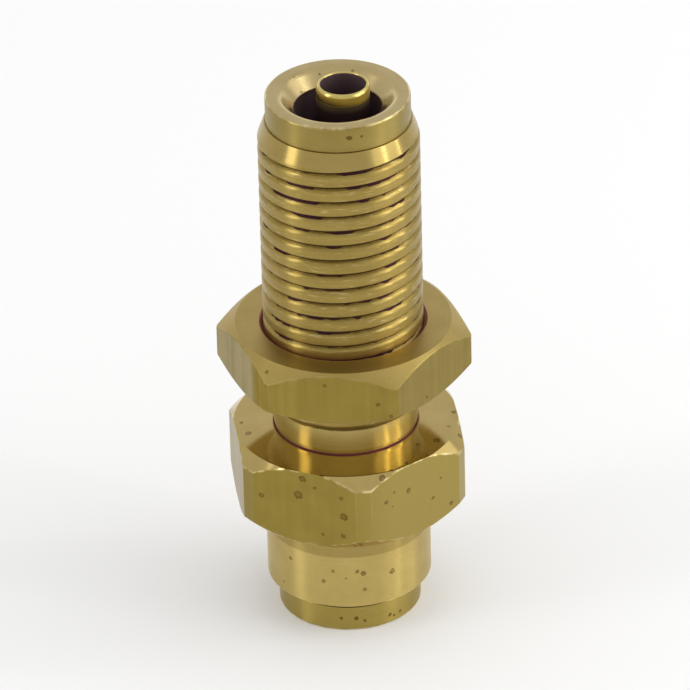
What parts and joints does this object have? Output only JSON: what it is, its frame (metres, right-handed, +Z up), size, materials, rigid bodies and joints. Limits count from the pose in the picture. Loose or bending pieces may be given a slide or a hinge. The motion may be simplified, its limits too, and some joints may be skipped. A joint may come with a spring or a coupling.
{
  "type": "tank connector",
  "caption": "Brass push-in bulkhead connector: hex body with a threaded stem and lock nut, and a dished release ring, slotted collet and tube support at each end.",
  "frame": {"origin": "centre of the plane that the lower release ring stands on", "axes": "+Z up along the tube axis, towards the threaded stem; +X through a corner of the body's hex"},
  "size_m": [0.0194, 0.0194, 0.0458],
  "materials": {
    "body_brass": "turned and drawn, slightly tarnished",
    "nut_brass": "drawn flats, turned faces",
    "collet_brass": "turned",
    "insert_brass": "turned",
    "seal_rubber": "moulded"
  },
  "bodies": {
    "fitting": {"body": "body_brass", "upper_collet_retainer": "insert_brass", "lower_collet_retainer": "insert_brass", "upper_spacer_washer": "insert_brass", "lower_spacer_washer": "insert_brass", "upper_seal_ring": "seal_rubber", "lower_seal_ring": "seal_rubber", "upper_tube_support": "insert_brass", "lower_tube_support": "insert_brass"},
    "nut": {"lock_nut": "nut_brass"},
    "upper_ring": {"upper_release_collet": "collet_brass"},
    "lower_ring": {"lower_release_collet": "collet_brass"}
  },
  "joints": [
    {"name": "nut_travel", "type": "slide", "parent": "fitting", "child": "nut", "axis": [0, 0, 1], "range_m": [-0.00381, 0.01524]},
    {"name": "upper_release", "type": "slide", "parent": "fitting", "child": "upper_ring", "axis": [0, 0, 1], "range_m": [0, 0.0012]},
    {"name": "lower_release", "type": "slide", "parent": "fitting", "child": "lower_ring", "axis": [0, 0, -1], "range_m": [-0.00064, 0.00056]}
  ]
}
